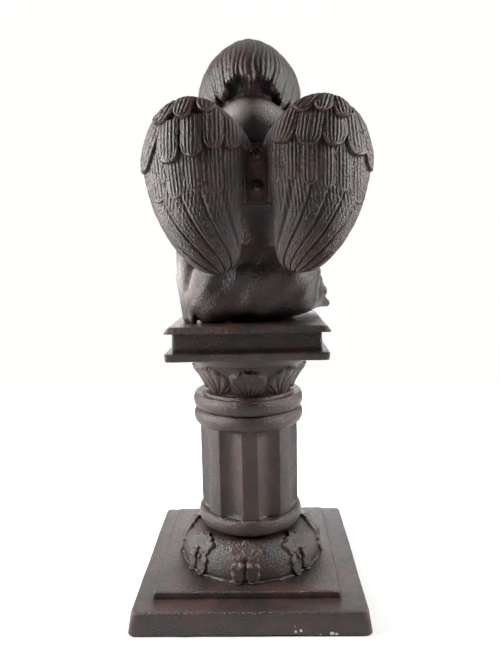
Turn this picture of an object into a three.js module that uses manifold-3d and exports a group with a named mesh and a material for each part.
// A cast iron garden ornament: a winged cherub that sits, head bowed, on a short fluted column.
// Millimetres, +Z up. The cherub faces -Y and its left hand is on the +X side.
// The origin is the middle of the foot's underside.
import * as THREE from "three";
import { mergeVertices } from "three/addons/utils/BufferGeometryUtils.js";
import Module from "manifold-3d";

const wasm = await Module();
wasm.setup();

// Driving sizes of the pedestal
const footWidth = 133;
const footTopWidth = 129;
const footHeight = 12.6;
const stepWidth = 106.4;
const stepDepth = 109.6;
const stepX = 1.8;
const stepY = -2.8;
const stepHeight = 3.9;
const domeRadius = 43.2;
const domeTopRadius = 30.5;
const domeHeight = 20;
const shaftRadius = 30;
const shaftNeckRadius = 27;
const shaftNeckHeight = 1.8;
const footRollRadius = 32.2;
const footRollHeight = 9.6;
const fluteCount = 8;
const fluteDepth = 3;
const fluteTurn = 1.9;
const ridgeShare = 0.4;
const ringRollRadius = 33.6;
const ringRollHeight = 9.6;
const shaftTop = 121;
const bellRadius = 25;
const bellTopRadius = 34.4;
const bellHeight = 18.7;
const collarRadius = 39;
const collarHeight = 6.3;
const abacusWidth = 90;
const abacusHeight = 4.5;
const blockWidth = 82.4;
const blockHeight = 10.8;
const capitalX = -1;
const fanRibs = 5.5;
const ornamentCount = 8;
const leafTurns = [3.4, 0, 0, 0, 0, 0, 0, 2.2];
const turnedSides = 40;

// Driving sizes of the figure and its wings
const seatWidth = 91.4;
const seatTopWidth = 85.8;
const seatHeight = 3.6;
const seatX = -1.4;
const bodyX = -8;
const headCentre = [-4.2, -15, 295.6];
const headPitch = THREE.MathUtils.degToRad(30);
const lockCount = 26;
const whorlForward = 7;
const figureCell = 1.5;
const wingThickness = 4.4;
const strapWidth = 13;
const strapThickness = 3.6;
const strapBottom = 229;
const strapTop = 262.5;
const strapFront = 24.4;
const screwHeights = { lower: 240, upper: 257.3 };
const screwHeadRadius = 3.4;
const screwShankRadius = 1.4;
const screwLength = 11;
const gap = 0.3;
const seam = 0.05;

// How many triangles each solid is thinned to
const leafTriangles = 130;
const footTriangles = 1500;
const shaftTriangles = 1150;
const fanTriangles = 110;
const capitalTriangles = 1350;
const figureTriangles = 3440;
const wingTriangles = 800;

// Heights that follow from the sizes above
const domeBase = footHeight + stepHeight;
const shaftBase = domeBase + domeHeight;
const rollBase = shaftBase + shaftNeckHeight;
const fluteBase = rollBase + footRollHeight;
const ringBase = shaftTop - 2 * ringRollHeight;
const collarBase = shaftTop + bellHeight;
const abacusBase = collarBase + collarHeight;
const blockBase = abacusBase + abacusHeight;
const seatBase = blockBase + blockHeight;
const seatTop = seatBase + seatHeight;

// A wing, given as if on the +X side: x from the spine, z up. Streamlines run from its top to
// its tip, q from the inner edge to the outer one, and p along them
const wingTop = [34, 285];
const wingTip = [20, 192.5];
const innerEdge = [[20, 280], [7.5, 268], [3.5, 260], [5, 252], [9, 226], [11.5, 199]];
const outerEdge = [[46, 281.5], [57, 272], [62.5, 256], [61, 243], [54.5, 223], [44, 206], [31, 194.5]];

// The coverts of each wing lie in tiers, those on top first. A tier's tips run outward from its
// first, a step apart, and drop as they go; each feather leans and fans from its tip to its root
const covertTiers = {
  left: [
    { count: 3, first: 26, step: 12.5, height: 275, drop: 1, length: 10.5, fan: -0.3, half: 4.6, lift: 2.1 },
    { count: 1, first: 62, height: 249, length: 22.5, lean: -0.45, half: 4, lift: 1.9 },
    { count: 5, first: 6, step: 7, widen: 0.7, height: 258.5, drop: 0.45, length: 18, half: 3.8, lift: 1.5 },
    { count: 5, first: 12.5, step: 9.7, height: 236.5, drop: 0.3, length: 20, fan: 0.03, half: 4.5,
      lift: 0.55 },
  ],
  right: [
    { count: 3, first: 21.5, step: 11.5, height: 275, drop: 0.6, length: 10.5, lean: 0.8, fan: -0.5,
      half: 4.8, lift: 2.1 },
    { count: 1, first: 62.5, height: 247, length: 31, lean: -0.33, half: 3.5, lift: 1.8 },
    { count: 4, first: 13, step: 13.2, height: 259.5, drop: 0.65, length: 18, lean: 0.3, fan: -0.13,
      half: 6, lift: 1.5 },
    { count: 6, first: 10.5, step: 8.5, height: 241, drop: 0.45, length: 20, half: 4.2, lift: 0.55 },
  ],
};
const unevenTips = 1;
const lapFirst = 0.29;
const lapLast = 1.28;

const { PI, sin, cos, abs, sqrt, exp, min, max, hypot, atan2, floor } = Math;
const mix = (a, b, t) => a + (b - a) * t;
const clamp = (t, low, high) => min(high, max(low, t));
const smooth = (t, low, high) => {
  const s = clamp((t - low) / (high - low), 0, 1);
  return s * s * (3 - 2 * s);
};

// Solids: a closed geometry becomes a manifold solid, and back
function geometryOf(points, faces) {
  const geometry = new THREE.BufferGeometry();
  geometry.setAttribute("position", new THREE.Float32BufferAttribute(points.flat(), 3));
  geometry.setIndex(faces.flat());
  return geometry;
}

function solid(geometry) {
  const bare = new THREE.BufferGeometry();
  bare.setAttribute("position", geometry.getAttribute("position"));
  bare.setIndex(geometry.index);
  const merged = mergeVertices(bare, 1e-4);
  const triVerts = new Uint32Array(merged.index.array);
  const numProp = 3;
  const vertProperties = merged.attributes.position.array;
  const made = new wasm.Manifold(new wasm.Mesh({ numProp, vertProperties, triVerts }));
  if (made.volume() > 0) return made;
  for (let i = 0; i < triVerts.length; i += 3) {
    [triVerts[i], triVerts[i + 1]] = [triVerts[i + 1], triVerts[i]];
  }
  return new wasm.Manifold(new wasm.Mesh({ numProp, vertProperties, triVerts }));
}

const join = (...solids) => solids.reduce((whole, next) => whole.add(next));

// The points and faces of a solid, and a solid thinned to a number of triangles
function facesOf(made) {
  const { vertProperties, triVerts, numProp } = made.getMesh();
  const points = [];
  const faces = [];
  for (let i = 0; i < vertProperties.length; i += numProp) {
    points.push([...vertProperties.slice(i, i + 3)]);
  }
  for (let i = 0; i < triVerts.length; i += 3) faces.push([...triVerts.slice(i, i + 3)]);
  return { points, faces };
}

const thinned = (made, target) => solid(thin(facesOf(made), target));

function meshOf(name, made, material) {
  const { points, faces } = facesOf(made);
  const geometry = geometryOf(points, faces);
  geometry.computeVertexNormals();
  const mesh = new THREE.Mesh(geometry, material);
  mesh.name = name;
  return mesh;
}

// Stacks closed rings of points, counterclockwise from above, into one closed body
function loft(rings) {
  const count = rings[0].length;
  const points = rings.flat();
  const faces = [];
  for (let r = 0; r + 1 < rings.length; r++) {
    for (let i = 0; i < count; i++) {
      const a = r * count + i;
      const b = r * count + ((i + 1) % count);
      faces.push([a, b, b + count], [a, b + count, a + count]);
    }
  }
  const last = points.length - count;
  const under = points.push([0, 0, rings[0][0][2]]) - 1;
  const over = points.push([0, 0, rings.at(-1)[0][2]]) - 1;
  for (let i = 0; i < count; i++) {
    const next = (i + 1) % count;
    faces.push([under, next, i], [over, last + i, last + next]);
  }
  return geometryOf(points, faces);
}

function squareRing(width, corner, z, cornerSteps = 2) {
  const ring = [];
  for (let side = 0; side < 4; side++) {
    for (let i = 0; i <= cornerSteps; i++) {
      const angle = (side + i / cornerSteps) * (PI / 2);
      const middle = (side + 0.5) * (PI / 2);
      const reach = (width / 2 - corner) * Math.SQRT2;
      ring.push([
        reach * cos(middle) + corner * cos(angle),
        reach * sin(middle) + corner * sin(angle),
        z,
      ]);
    }
  }
  return ring;
}

// A square plate with drafted sides and broken edges
function plate(lowWidth, highWidth, base, height, corner, edge, x = 0) {
  const geometry = loft([
    squareRing(lowWidth - edge, corner, base),
    squareRing(lowWidth, corner, base + edge / 2),
    squareRing(highWidth, corner, base + height - edge),
    squareRing(highWidth - edge * 1.6, corner, base + height),
  ]);
  geometry.translate(x, 0, 0);
  return solid(geometry);
}

function turned(profile, segments) {
  const lathe = new THREE.LatheGeometry(
    profile.map(([r, z]) => new THREE.Vector2(r, z)),
    segments,
  );
  lathe.rotateX(PI / 2);
  return solid(lathe);
}

// A half-round roll of a turned profile, from height a to b at the radius where it springs
function roll(spring, crest, a, b, steps = 3) {
  const points = [];
  for (let i = 0; i <= steps; i++) {
    const angle = (i / steps) * PI;
    points.push([spring + (crest - spring) * sin(angle), mix(a, b, (1 - cos(angle)) / 2)]);
  }
  return points;
}

// A closed body like a pod: place(side, q, p) gives its point, with q across and p along
function pod(columns, rows, place) {
  const around = 2 * columns;
  const points = [place(0, 0.5, 0)];
  for (let r = 1; r < rows; r++) {
    for (let a = 0; a < around; a++) {
      const q = a <= columns ? a / columns : 2 - a / columns;
      const side = a % columns === 0 ? 0 : a < columns ? 1 : -1;
      points.push(place(side, q, r / rows));
    }
  }
  const end = points.push(place(0, 0.5, 1)) - 1;
  const faces = [];
  for (let a = 0; a < around; a++) {
    const b = (a + 1) % around;
    faces.push([0, 1 + b, 1 + a], [end, end - around + a, end - around + b]);
    for (let r = 0; r + 2 < rows; r++) {
      const low = 1 + r * around;
      const high = low + around;
      faces.push([low + a, low + b, high + b], [low + a, high + b, high + a]);
    }
  }
  return { points, faces };
}

// Thins a closed mesh to a number of triangles: the cheapest edge collapses first, by the
// distance of its new point from the planes of the faces around it
function thin({ points, faces }, target) {
  const at = points.map((p) => [...p]);
  const tris = faces.map((f) => [...f]);
  const fans = at.map(() => new Set());
  const planes = at.map(() => new Float64Array(10));
  const stamp = new Int32Array(at.length);
  const faceNormal = (a, b, c) => {
    const [ux, uy, uz] = [b[0] - a[0], b[1] - a[1], b[2] - a[2]];
    const [vx, vy, vz] = [c[0] - a[0], c[1] - a[1], c[2] - a[2]];
    return [uy * vz - uz * vy, uz * vx - ux * vz, ux * vy - uy * vx];
  };
  tris.forEach((t, f) => {
    const n = faceNormal(...t.map((v) => at[v]));
    const size = hypot(...n) || 1e-12;
    const [a, b, c] = n.map((x) => x / size);
    const d = -(a * at[t[0]][0] + b * at[t[0]][1] + c * at[t[0]][2]);
    const q = [a * a, a * b, a * c, a * d, b * b, b * c, b * d, c * c, c * d, d * d];
    for (const v of t) {
      fans[v].add(f);
      for (let i = 0; i < 10; i++) planes[v][i] += q[i] * size;
    }
  });
  const errorAt = (q, [x, y, z]) =>
    q[0] * x * x + 2 * q[1] * x * y + 2 * q[2] * x * z + 2 * q[3] * x + q[4] * y * y +
    2 * q[5] * y * z + 2 * q[6] * y + q[7] * z * z + 2 * q[8] * z + q[9];
  const bestPoint = (q, a, b) => {
    const m = new THREE.Matrix3().set(q[0], q[1], q[2], q[1], q[4], q[5], q[2], q[5], q[7]);
    const middle = a.map((x, k) => (x + b[k]) / 2);
    const tries = [a, b, middle];
    if (abs(m.determinant()) > 1e-3 * (q[0] + q[4] + q[7]) ** 3 * 1e-2) {
      const s = new THREE.Vector3(-q[3], -q[6], -q[8]).applyMatrix3(m.invert()).toArray();
      if (hypot(...s.map((x, k) => x - middle[k])) < 3 * hypot(...a.map((x, k) => x - b[k]))) {
        tries.push(s);
      }
    }
    const scored = tries.map((p) => [max(0, errorAt(q, p)), p]);
    return scored.reduce((best, next) => (next[0] < best[0] - 1e-12 ? next : best));
  };
  const heap = [];
  const push = (entry) => {
    let i = heap.push(entry) - 1;
    while (i > 0) {
      const parent = (i - 1) >> 1;
      if (heap[parent].cost <= entry.cost) break;
      heap[i] = heap[parent];
      i = parent;
    }
    heap[i] = entry;
  };
  const pop = () => {
    const best = heap[0];
    const entry = heap.pop();
    if (!heap.length) return best;
    let i = 0;
    for (;;) {
      let child = 2 * i + 1;
      if (child >= heap.length) break;
      if (child + 1 < heap.length && heap[child + 1].cost < heap[child].cost) child++;
      if (heap[child].cost >= entry.cost) break;
      heap[i] = heap[child];
      i = child;
    }
    heap[i] = entry;
    return best;
  };
  const offer = (u, v) => {
    const q = planes[u].map((x, i) => x + planes[v][i]);
    const [error, point] = bestPoint(q, at[u], at[v]);
    const length = hypot(...at[u].map((x, k) => x - at[v][k]));
    push({ cost: error + 1e-5 * length, u, v, point, su: stamp[u], sv: stamp[v] });
  };
  const around = (v) => {
    const found = new Set();
    for (const f of fans[v]) for (const w of tris[f]) if (w !== v) found.add(w);
    return found;
  };
  tris.forEach((t) => {
    for (let i = 0; i < 3; i++) if (t[i] < t[(i + 1) % 3]) offer(t[i], t[(i + 1) % 3]);
  });
  const turnsOver = (v, other, point) => {
    for (const f of fans[v]) {
      if (tris[f].includes(other)) continue;
      const before = faceNormal(...tris[f].map((w) => at[w]));
      const after = faceNormal(...tris[f].map((w) => (w === v ? point : at[w])));
      const dot = before[0] * after[0] + before[1] * after[1] + before[2] * after[2];
      if (dot < 0.2 * hypot(...before) * hypot(...after)) return true;
    }
    return false;
  };
  let left = tris.length;
  while (left > target && heap.length) {
    const { u, v, point, su, sv } = pop();
    if (stamp[u] !== su || stamp[v] !== sv) continue;
    const beside = around(v);
    const shared = [...around(u)].filter((w) => beside.has(w));
    if (shared.length !== 2 || turnsOver(u, v, point) || turnsOver(v, u, point)) continue;
    for (const f of [...fans[v]]) {
      if (tris[f].includes(u)) {
        for (const w of tris[f]) fans[w].delete(f);
        tris[f] = null;
        left--;
      } else {
        tris[f] = tris[f].map((w) => (w === v ? u : w));
        fans[u].add(f);
      }
    }
    at[u] = point;
    planes[v].forEach((x, i) => (planes[u][i] += x));
    stamp[v] = -1;
    stamp[u]++;
    for (const w of around(u)) offer(u, w);
  }
  const kept = tris.filter(Boolean);
  const used = [...new Set(kept.flat())];
  const place = new Map(used.map((v, i) => [v, i]));
  return geometryOf(
    used.map((v) => at[v]),
    kept.map((t) => t.map((v) => place.get(v))),
  );
}

// Fields: functions of x, y, z that are negative inside and roughly a distance in mm
const ball = ([cx, cy, cz], [rx, ry, rz]) => (x, y, z) => {
  const [a, b, c] = [(x - cx) / rx, (y - cy) / ry, (z - cz) / rz];
  const k = sqrt(a * a + b * b + c * c);
  const steep = sqrt((a / rx) ** 2 + (b / ry) ** 2 + (c / rz) ** 2) || 1e-9;
  return (k * (k - 1)) / steep;
};

// A ball drawn in towards its poles by a power under 2, or squared up by one over 2
const swell = ([cx, cy, cz], [rx, ry, rz], power) => (x, y, z) => {
  const [a, b, c] = [abs((x - cx) / rx), abs((y - cy) / ry), abs((z - cz) / rz)];
  return ((a ** power + b ** power + c ** power) ** (1 / power) - 1) * min(rx, ry, rz);
};

const bone = (a, b, ra, rb) => {
  const d = a.map((v, k) => b[k] - v);
  const length2 = d[0] ** 2 + d[1] ** 2 + d[2] ** 2;
  return (x, y, z) => {
    const [px, py, pz] = [x - a[0], y - a[1], z - a[2]];
    const t = clamp((px * d[0] + py * d[1] + pz * d[2]) / length2, 0, 1);
    const [ex, ey, ez] = [px - d[0] * t, py - d[1] * t, pz - d[2] * t];
    return sqrt(ex * ex + ey * ey + ez * ez) - mix(ra, rb, t);
  };
};

const soften = (a, b, k) => {
  const h = max(k - abs(a - b), 0) / k;
  return min(a, b) - (h * h * k) / 4;
};

const blend = (k, ...fields) => (x, y, z) => {
  let d = fields[0](x, y, z);
  for (let i = 1; i < fields.length; i++) d = soften(d, fields[i](x, y, z), k);
  return d;
};

const carve = (k, field, ...tools) => (x, y, z) => {
  let d = -field(x, y, z);
  for (const tool of tools) d = soften(d, tool(x, y, z), k);
  return -d;
};

// A field given in the head's own frame, whose origin is the head's centre
const inHead = (field) => {
  const [c, s] = [cos(headPitch), sin(headPitch)];
  return (x, y, z) => {
    const [dy, dz] = [y - headCentre[1], z - headCentre[2]];
    return field(x - headCentre[0], dy * c + dz * s, dz * c - dy * s);
  };
};

// Skins a field with triangles, on cubes that are each cut into six tetrahedra
function skin(field, low, high, cell) {
  const count = low.map((v, k) => Math.ceil((high[k] - v) / cell) + 1);
  const value = new Float64Array(count[0] * count[1] * count[2]);
  const step = [1, count[0], count[0] * count[1]];
  const placeOf = (i) => [
    low[0] + cell * (i % count[0]),
    low[1] + cell * (floor(i / step[1]) % count[1]),
    low[2] + cell * floor(i / step[2]),
  ];
  for (let i = 0; i < value.length; i++) value[i] = field(...placeOf(i)) || 1e-9;
  const corner = [0, 1, 2, 3, 4, 5, 6, 7].map(
    (n) => (n & 1) * step[0] + ((n >> 1) & 1) * step[1] + (n >> 2) * step[2],
  );
  const tetrahedra = [
    [0, 1, 3, 7], [0, 3, 2, 7], [0, 2, 6, 7],
    [0, 6, 4, 7], [0, 4, 5, 7], [0, 5, 1, 7],
  ];
  const points = [];
  const faces = [];
  const made = new Map();
  const crossing = (a, b) => {
    const [p, q] = a < b ? [a, b] : [b, a];
    const key = p * value.length + q;
    if (!made.has(key)) {
      const t = clamp(value[p] / (value[p] - value[q]), 0.03, 0.97);
      const [from, to] = [placeOf(p), placeOf(q)];
      made.set(key, points.push(from.map((v, k) => mix(v, to[k], t))) - 1);
    }
    return made.get(key);
  };
  const addFace = (a, b, c, inside, outside) => {
    const [p, q, r] = [points[a], points[b], points[c]];
    const [u, v] = [q.map((x, k) => x - p[k]), r.map((x, k) => x - p[k])];
    const [from, to] = [placeOf(inside), placeOf(outside)];
    const way =
      (u[1] * v[2] - u[2] * v[1]) * (to[0] - from[0]) +
      (u[2] * v[0] - u[0] * v[2]) * (to[1] - from[1]) +
      (u[0] * v[1] - u[1] * v[0]) * (to[2] - from[2]);
    faces.push(way > 0 ? [a, b, c] : [a, c, b]);
  };
  for (let k = 0; k + 1 < count[2]; k++) {
    for (let j = 0; j + 1 < count[1]; j++) {
      for (let i = 0; i + 1 < count[0]; i++) {
        const base = i + j * step[1] + k * step[2];
        const inside = corner.filter((c) => value[base + c] < 0).length;
        if (inside === 0 || inside === 8) continue;
        for (const t of tetrahedra) {
          const v = t.map((n) => base + corner[n]);
          const ins = v.filter((n) => value[n] < 0);
          const outs = v.filter((n) => value[n] >= 0);
          if (ins.length === 1) {
            addFace(...outs.map((o) => crossing(ins[0], o)), ins[0], outs[0]);
          } else if (ins.length === 3) {
            addFace(...ins.map((n) => crossing(n, outs[0])), ins[0], outs[0]);
          } else if (ins.length === 2) {
            const [a, b] = [crossing(ins[0], outs[0]), crossing(ins[0], outs[1])];
            const [c, d] = [crossing(ins[1], outs[1]), crossing(ins[1], outs[0])];
            addFace(a, b, c, ins[0], outs[0]);
            addFace(a, c, d, ins[0], outs[0]);
          }
        }
      }
    }
  }
  return { points, faces };
}

// The foot: square plate, step, dome and a ring of lobed leaves
function domeSurface(angle, rise, out) {
  const [c, s] = [cos((rise * PI) / 2), sin((rise * PI) / 2)];
  const spread = domeRadius - domeTopRadius;
  const [nr, nz] = [c * domeHeight, s * spread];
  const size = hypot(nr, nz);
  const r = domeTopRadius + spread * c + (out * nr) / size;
  return [r * cos(angle), r * sin(angle), domeBase + domeHeight * s + (out * nz) / size];
}

// The lobes of half a leaf: root, tip, half width and height, across and up from the leaf's foot
const leafLobes = [
  { root: [0, 12], tip: [0, 24], half: 3.3, height: 2.9 },
  { root: [1, 11.5], tip: [5, 21.2], half: 2.7, height: 2.7 },
  { root: [1.8, 10.5], tip: [8.8, 17.8], half: 2.9, height: 3 },
  { root: [1.6, 9.2], tip: [7.6, 12.6], half: 1.9, height: 2 },
  { root: [1.6, 8.6], tip: [8.2, 6.6], half: 2, height: 2.2 },
  { root: [2, 8.4], tip: [5.6, -0.2], half: 3.9, height: 2.5 },
];
const leafHeight = 26.5;
const leafHalfWidth = 11.6;

// How far a leaf stands up from the dome at u across it and v up from its foot
function leafRelief(u, v) {
  const side = abs(u);
  let relief = 3.1 * sqrt(max(0, 1 - ((side - 2) / 1.7) ** 2 - ((v - 8.2) / 1.9) ** 2));
  for (const { root, tip, half, height } of leafLobes) {
    const [du, dv] = [tip[0] - root[0], tip[1] - root[1]];
    const length = hypot(du, dv);
    const t = ((side - root[0]) * du + (v - root[1]) * dv) / length ** 2;
    const aside = ((side - root[0]) * dv - (v - root[1]) * du) / length;
    const fullest = t > 0.58 ? 0.38 : 0.58;
    const width = half * sqrt(max(0, 1 - abs((t - 0.58) / fullest) ** 2.2));
    const across = min(1, abs(aside) / max(width, 1e-3));
    const crown = height * (0.4 + 0.5 * clamp(t, 0, 1)) * sqrt(1 - across ** 6);
    relief = max(relief, crown);
  }
  const groove = 1.5 * exp(-((u / 0.7) ** 2)) * smooth(-v, -13, -10);
  return relief > 0.2 ? relief - groove : -0.9;
}

function lobedLeaf() {
  return pod(30, 34, (side, q, p) => {
    const u = (2 * q - 1) * leafHalfWidth * min(1, 4 * sqrt(p * (1 - p)));
    const v = mix(-1.5, 25, p);
    const height = side > 0 ? leafRelief(u, v) : -2;
    return domeSurface(u / (domeRadius - 3), v / leafHeight, height);
  });
}

// Copies of a solid around the column, the first of them to the back
function aroundRing(made, turns = []) {
  const pieces = [];
  for (let i = 0; i < ornamentCount; i++) {
    pieces.push(made.rotate([0, 0, 90 + (360 * i) / ornamentCount - (turns[i] ?? 0)]));
  }
  return pieces;
}

function pedestalFoot() {
  const rim = domeRadius + 0.7;
  const dome = [[0, domeBase - 1], [rim, domeBase - 1], [rim, domeBase + 0.7]];
  const steps = 5;
  for (let i = 0; i <= steps; i++) {
    const [r, , z] = domeSurface(0, i / steps, 0);
    dome.push([r, z]);
  }
  dome.push([0, shaftBase]);
  const leaf = solid(thin(lobedLeaf(), leafTriangles));
  const step = plate(stepWidth, stepWidth - 0.6, footHeight - 1, stepHeight + 1, 1.5, 0.8);
  const foot = join(
    plate(footWidth, footTopWidth, 0, footHeight, 3, 1.2),
    step.scale([1, stepDepth / stepWidth, 1]).translate([stepX, stepY, 0]),
    turned(dome, turnedSides),
    ...aroundRing(leaf, leafTurns),
  );
  return thinned(foot, footTriangles);
}

// The shaft: a roll, eight wide flutes with flat ridges between, and two rolls on top
function fluteRing(z, depth) {
  const ring = [];
  const pitch = (2 * PI) / fluteCount;
  const ridge = ridgeShare * pitch;
  const steps = 5;
  for (let n = 0; n < fluteCount; n++) {
    for (let i = 0; i <= steps; i++) {
      const share = i / steps;
      const start = PI / 2 + THREE.MathUtils.degToRad(fluteTurn) + n * pitch + ridge / 2;
      const angle = start + share * (pitch - ridge);
      const r = shaftRadius - depth * sin(PI * share) ** 0.8;
      ring.push([r * cos(angle), r * sin(angle), z]);
    }
  }
  return ring;
}

function columnShaft() {
  const start = rollBase + footRollHeight / 2;
  const drum = solid(
    loft([
      fluteRing(start, 0),
      fluteRing(fluteBase - 1, 0),
      fluteRing(fluteBase + 1.4, fluteDepth),
      fluteRing(ringBase - 1, fluteDepth),
      fluteRing(ringBase + 1, fluteDepth * 0.5),
    ]),
  );
  const footRoll = turned(
    [
      [0, shaftBase + seam],
      [shaftNeckRadius, shaftBase + seam],
      [shaftNeckRadius, rollBase + 0.6],
      ...roll(30, footRollRadius, rollBase, fluteBase),
      [0, fluteBase],
    ],
    turnedSides,
  );
  const rings = turned(
    [
      [0, ringBase],
      ...roll(30.6, ringRollRadius, ringBase, ringBase + ringRollHeight),
      ...roll(31.6, ringRollRadius, ringBase + ringRollHeight, shaftTop - 0.6),
      [bellRadius + 3, shaftTop - 1.4],
      [bellRadius + 2, shaftTop],
      [0, shaftTop],
    ],
    turnedSides,
  );
  return thinned(join(drum, footRoll, rings), shaftTriangles);
}

// The capital: flared bell with fan leaves, round collar, square plate and block
function bellSurface(angle, rise, out) {
  const spread = bellTopRadius - bellRadius;
  const r = bellRadius + spread * rise ** 1.5;
  const [nr, nz] = [bellHeight, -1.5 * spread * rise ** 0.5];
  const size = hypot(nr, nz);
  const reach = r + (out * nr) / size;
  return [reach * cos(angle), reach * sin(angle), shaftTop + bellHeight * rise + (out * nz) / size];
}

// How far a fan leaf stands up from the bell: fine ribs that spread from the middle of its foot
function fanRelief(u, v) {
  const rib = abs(cos(atan2(u, v + 1.5) * (1 + 0.012 * v) * fanRibs));
  const outline = 10.4 * sqrt(max(0, 1 - abs((v - 9.4) / 8.4) ** 2.6));
  const crest = sqrt(max(0, 1 - (u / 5.2) ** 2 - ((v - 13.6 + 0.05 * u * u) / 1.6) ** 2));
  const body = (0.9 + 0.85 * rib + 0.05 * v) * clamp((outline - abs(u)) / 2.4, 0, 1) ** 0.6;
  return max(body, 2.3 * crest) || -0.8;
}

const fanHeight = 19.2;
const fanHalfWidth = 11;

function fanLeaf() {
  return pod(26, 22, (side, q, p) => {
    const u = (2 * q - 1) * fanHalfWidth * min(1, 4 * sqrt(p * (1 - p)));
    const v = mix(0.5, 18.4, p);
    const rise = v / fanHeight;
    return bellSurface(u / (bellRadius + 4 * rise), rise, side > 0 ? fanRelief(u, v) : -1.5);
  });
}

function capital() {
  const bell = [[0, shaftTop + seam], [bellRadius, shaftTop + seam]];
  const steps = 4;
  for (let i = 1; i <= steps; i++) {
    const [r, , z] = bellSurface(0, i / steps, 0);
    bell.push([r, z]);
  }
  bell.push(
    [mix(bellTopRadius, collarRadius, 0.45), collarBase + 0.35 * collarHeight],
    [mix(bellTopRadius, collarRadius, 0.85), collarBase + 0.7 * collarHeight],
    [collarRadius, abacusBase],
    [collarRadius, abacusBase + 0.8],
    [0, abacusBase + 0.8],
  );
  const fan = solid(thin(fanLeaf(), fanTriangles));
  const round = join(turned(bell, turnedSides), ...aroundRing(fan));
  const whole = join(
    round.translate([capitalX, 0, 0]),
    plate(abacusWidth - 0.8, abacusWidth, abacusBase, abacusHeight, 1.6, 0.8, capitalX),
    plate(blockWidth, blockWidth - 0.8, blockBase - 1, blockHeight + 1, 1.2, 0.6, capitalX),
  );
  return thinned(whole, capitalTriangles);
}

// The head in its own frame: face towards -Y, crown up, calm and with lowered lids
const face = () => {
  const pair = (make) => [make(1), make(-1)];
  const skull = blend(
    6,
    ball([0, 1, 2], [26, 27.5, 26]),
    ball([0, -8, -13], [20, 18, 16]),
    ...pair((s) => ball([s * 10, -17, -14], [9.5, 9, 9])),
    ball([0, -21.5, -24], [7, 6, 5]),
  );
  const sockets = pair((s) => ball([s * 9.4, -30.5, -4.5], [6, 5.5, 4.2]));
  return blend(
    1.6,
    carve(4, skull, ...sockets),
    ...pair((s) => ball([s * 9.2, -24.2, -5.2], [5, 3.4, 3.5])),
    bone([0, -26.8, -3], [0, -30.6, -10.6], 1.9, 2.7),
    ...pair((s) => ball([s * 2.5, -28.6, -11.6], [2, 2.2, 1.7])),
    ball([0, -27.4, -17], [5, 2.4, 1.3]),
    ball([0, -26.6, -19.6], [3.9, 2.6, 1.6]),
  );
};

// Hair hangs in locks from the crown to a level edge below the ears, with a fringe in front
const hair = () => {
  const cap = swell([0, 1.5, 0], [30.8, 32.5, 34.4], 1.75);
  const under = ball([0, -1, 0], [25.6, 27, 26]);
  return (x, y, z) => {
    const back = y + whorlForward;
    const turn = atan2(x, -back);
    const lock = (turn / (2 * PI)) * lockCount;
    const share = abs(lock - Math.round(lock)) * 2;
    const rise = smooth(hypot(x, back), 2, 13);
    const groove = (1 + 0.6 * smooth(-z, 2, 14)) * share ** 2 * rise;
    const front = smooth(-y, 4, 20);
    const nape = -17.5 + 5 * smooth(-abs(x), -19, -7);
    const edge = mix(nape, 9, front) + 2 * share ** 1.7 + 1.5 * sin(Math.round(lock) * 2.1 + 0.6);
    return max(cap(x, y, z) + groove, edge - 0.4 - z, -under(x, y, z) - 6);
  };
};

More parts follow.
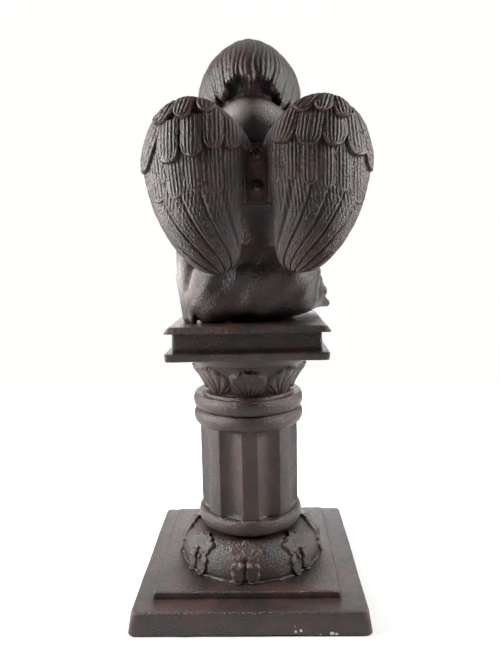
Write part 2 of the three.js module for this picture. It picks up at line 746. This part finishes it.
// The body: a cloth covers hips and thighs; the arms, shins and feet are bare
const cherubField = () => {
  const cloth = blend(
    10,
    swell([bodyX + 1.8, 9, 184], [36.5, 25, 17.5], 3.6),
    ball([bodyX + 1, 5, 193], [33, 24, 18]),
    ball([20.5, 19, 177], [9.5, 12, 12]),
    bone([8, -2, 187], [18, -30, 206], 17, 14),
    bone([-20, 0, 184], [-38, -22, 180], 18, 12),
    ball([-4, -16, 181], [26, 16, 13]),
  );
  const folds = (x, y, z) => 0.9 * sin(0.42 * x + 0.3 * z - 0.25 * y) * smooth(-y, 2, 22);
  const dressed = (x, y, z) => cloth(x, y, z) + folds(x, y, z);
  const tip = bone([-38, -22, 176], [-51, -27, 170.5], 9, 2.6);
  const torso = blend(
    9,
    ball([bodyX, -2, 208], [26, 21, 24]),
    ball([bodyX + 0.5, 2, 242], [28, 20, 30]),
    ball([bodyX + 2, 9, 268], [25.5, 15, 20.5]),
    ball([22, 3, 264], [12, 12, 12]),
    ball([-35, 2, 264], [12, 12, 12]),
    bone([-5, 5, 275], [-4, -9, 290], 14.5, 12.5),
  );
  const leftArm = blend(
    3,
    bone([24, 4, 263], [31.5, 8, 228], 10.5, 8.6),
    bone([31.2, 8, 228], [33, 14, 192], 8.8, 6.6),
    bone([33, 15, 188], [32, 18.5, 168], 6.6, 4.4),
  );
  const rightArm = blend(
    4,
    bone([-37, 2, 263], [-41, -17, 233], 10.5, 9),
    bone([-41, -17, 233], [-9, -38, 229], 9.2, 6.8),
    ball([3, -41, 229], [10, 8, 5]),
    bone([0, -36, 231], [9, -30, 230], 3.4, 2.8),
  );
  const fingers = [0, 1, 2, 3].flatMap((i) => [
    bone([35.4 - 1.7 * i, 9 + 4.6 * i, 181], [34.8 - 1.7 * i, 9.5 + 4.9 * i, 167], 2.9, 2.5),
    bone([10, -46.5 + 3.8 * i, 229], [24 + i, -49 + 4 * i, 223 + i], 2.8, 2.4),
  ]);
  const leftLeg = blend(
    4,
    bone([19, -28, 207], [22, -37, 211], 12.5, 11.5),
    bone([22, -37, 209], [21, -20, 178], 11, 8),
    ball([22, -18, 171.5], [7.5, 8, 6]),
    ball([23, -30, 170.8], [8.6, 14, 5.4]),
  );
  const rightLeg = blend(
    4,
    bone([-38, -25, 178], [-10, -36, 175], 11, 8.5),
    ball([-2, -38, 171.5], [11, 7.5, 6]),
    ball([5, -40, 170.5], [9, 6.5, 5]),
  );
  const toes = [0, 1, 2, 3, 4].flatMap((i) => {
    const size = i === 0 ? 3.1 : 2.5 - 0.15 * i;
    return [
      ball([17 + 3.3 * i, -44.5 + 0.35 * i * i, 169.6], [size, size * 1.3, size]),
      ball([13 - 0.6 * i, -35 - 2.6 * i, 169.6], [size * 1.3, size, size]),
    ];
  });
  const bare = blend(3, torso, leftArm, rightArm, leftLeg, rightLeg);
  const body = blend(1.2, blend(1.2, bare, ...fingers, ...toes), blend(3, dressed, tip));
  const head = blend(1, inHead(face()), inHead(hair()));
  const figure = blend(2.5, body, head);
  return (x, y, z) => max(figure(x, y, z), seatTop - 1 - z);
};

const figureLow = [-60, -56, seatTop - 2];
const figureHigh = [50, 44, 332];

function cherub() {
  const skinned = skin(cherubField(), figureLow, figureHigh, figureCell);
  const figure = solid(thin(skinned, figureTriangles));
  const seat = plate(seatWidth, seatTopWidth, seatBase + seam, seatHeight - seam, 2.4, 1, seatX);
  return join(figure, seat);
}

function curveOf(edge) {
  const points = [wingTop, ...edge, wingTip].map(([x, z]) => new THREE.Vector3(x, 0, z));
  return new THREE.CatmullRomCurve3(points, false, "centripetal");
}

const innerCurve = curveOf(innerEdge);
const outerCurve = curveOf(outerEdge);

function wingDepth(x, z) {
  const across = 15 * ((x - 29) / 32) ** 2;
  const upper = z > 250 ? 8 * ((z - 250) / 37) ** 2 : 2 * ((250 - z) / 57) ** 2;
  return 39 - across - upper;
}

function covertsOf(tier) {
  const { count, first, step = 0, widen = 0, drop = 0, length, lean = 0, fan = 0 } = tier;
  return Array.from({ length: count }, (_, i) => {
    const tipX = first + step * i + widen * i * i;
    const tipZ = tier.height - drop * i * i + unevenTips * sin(4 * i + first);
    const tip = [tipX, tipZ];
    const root = [tipX + (lean + fan * i) * length, tipZ + length];
    return { tip, root, half: tier.half + 0.7 * widen * i, lift: tier.lift };
  });
}

const coverts = {
  left: covertTiers.left.flatMap(covertsOf),
  right: covertTiers.right.flatMap(covertsOf),
};

// Where the primaries lap, from the inner edge to the outer one
const lapsOf = (count) => [
  -0.06,
  ...Array.from({ length: count }, (_, i) => mix(lapFirst, lapLast, i / (count - 1))),
  1.5,
];
const laps = { left: lapsOf(6), right: lapsOf(7) };

function covertRelief(hand, x, z) {
  for (const { tip, root, half, lift } of coverts[hand]) {
    const [dx, dz] = [root[0] - tip[0], root[1] - tip[1]];
    const length = hypot(dx, dz);
    const along = ((x - tip[0]) * dx + (z - tip[1]) * dz) / length;
    const aside = ((x - tip[0]) * dz - (z - tip[1]) * dx) / length;
    const width = half * sqrt(1 - (1 - clamp(along / (1.15 * half), 0, 1)) ** 2);
    if (along <= 0 || along > 1.2 * length || abs(aside) >= width) continue;
    return lift + (0.3 + 0.25 * lift) * (1 - (aside / width) ** 2) + 0.3 * lift * (1 - along / length);
  }
  return null;
}

function primaryRelief(hand, sweep) {
  const next = laps[hand].findIndex((edge) => edge > sweep);
  const [from, to] = laps[hand].slice(next - 1, next + 1);
  const step = (sweep - from) / (to - from);
  return 0.1 + 0.9 * (1 - abs(2 * step - 1) ** 5) * (0.6 + 0.4 * step);
}

// The shoulder and the arm along the inner edge are smooth, over the feathers
function wingRelief(hand, x, z, q, p) {
  const sweep = q + 0.8 * max(0, p - 0.3) ** 2;
  const feathers = covertRelief(hand, x, z) ?? primaryRelief(hand, min(sweep, 1.49));
  const shoulder = 2.5 * (1 - smooth(p, 0.045, 0.085));
  const arm = 2 * (1 - smooth(q, 0.1, 0.135)) * (1 - smooth(p, 0.28, 0.36));
  return max(feathers, shoulder, arm);
}

function wing(side, hand) {
  const pointOf = (q, p) => {
    const [a, b] = [innerCurve.getPointAt(p), outerCurve.getPointAt(p)];
    return [mix(a.x, b.x, q), mix(a.z, b.z, q)];
  };
  const fine = pod(56, 110, (face, q, p) => {
    const [x, z] = pointOf(q, p);
    const slope = (wingDepth(x + 0.1, z) - wingDepth(x - 0.1, z)) / 0.2;
    const fall = (wingDepth(x, z + 0.1) - wingDepth(x, z - 0.1)) / 0.2;
    const size = hypot(slope, 1, fall);
    const rim = (1 - abs(2 * q - 1) ** 6) ** 0.5 * (1 - abs(2 * p - 1) ** 14) ** 0.5;
    const relief = face > 0 ? wingRelief(hand, x, z, q, p) * sqrt(rim) : 0;
    const reach = (face * wingThickness * rim) / 2 + relief;
    return [
      side * (x - (reach * slope) / size) + bodyX,
      wingDepth(x, z) + reach / size,
      z - (reach * fall) / size,
    ];
  });
  return solid(thin(fine, wingTriangles));
}

// A strap between the wings lies on a flat of the back and takes two screws
function box(low, high) {
  const size = high.map((v, k) => v - low[k]);
  const geometry = new THREE.BoxGeometry(...size);
  geometry.translate(...low.map((v, k) => v + size[k] / 2));
  return solid(geometry);
}

function screwSolid(z, slack) {
  const head = strapFront + strapThickness;
  const lathe = new THREE.LatheGeometry(
    [
      [0, head - screwLength],
      [screwShankRadius + slack, head - screwLength],
      [screwShankRadius + slack, head + 0.05 - slack],
      [screwHeadRadius, head + 0.05 - slack],
      [screwHeadRadius * 0.86, head + 1],
      [screwHeadRadius * 0.5, head + 1.6],
      [0, head + 1.8],
    ].map(([r, y]) => new THREE.Vector2(r, y)),
    12,
  );
  lathe.translate(0, 0, -z);
  lathe.rotateX(PI);
  lathe.scale(1, -1, 1);
  lathe.translate(bodyX, 0, 0);
  return solid(lathe);
}

const screwHole = (z) => screwSolid(z, gap);

function wings() {
  const half = strapWidth / 2;
  const base = box(
    [bodyX - half, strapFront, strapBottom],
    [bodyX + half, strapFront + strapThickness, strapTop],
  );
  const flanges = [1, -1].map((side) => {
    const ends = [bodyX + side * (half - 1), bodyX + side * (half + 4)];
    return box(
      [min(...ends), strapFront, strapBottom + 1.5],
      [max(...ends), strapFront + 9.5, strapTop - 3],
    );
  });
  const joined = join(wing(1, "left"), wing(-1, "right"), base, ...flanges);
  return Object.values(screwHeights).reduce((made, z) => made.subtract(screwHole(z)), joined);
}

function backFlat() {
  const half = strapWidth / 2 + 4 + gap;
  return box(
    [bodyX - half, strapFront - gap, strapBottom - gap],
    [bodyX + half, 60, strapTop + gap],
  );
}

// Dark brown paint over iron, rubbed to a redder brown on the edges
const iron = new THREE.MeshStandardMaterial({ color: 0x3a302c, roughness: 0.5, metalness: 0.35 });
const screwSteel = new THREE.MeshStandardMaterial({ color: 0x2c2826, roughness: 0.45, metalness: 0.6 });

const group = new THREE.Group();
group.add(meshOf("pedestal_foot", pedestalFoot(), iron));
group.add(meshOf("column_shaft", columnShaft(), iron));
group.add(meshOf("capital", capital(), iron));

const wingPair = wings();
const holes = Object.values(screwHeights).map((z) => screwHole(z));
const body = holes.reduce((made, hole) => made.subtract(hole), cherub().subtract(backFlat()));
group.add(meshOf("cherub", body, iron));
group.add(meshOf("wings", wingPair, iron));
for (const [place, z] of Object.entries(screwHeights)) {
  group.add(meshOf("wing_screw_" + place, screwSolid(z, 0), screwSteel));
}

export default group;
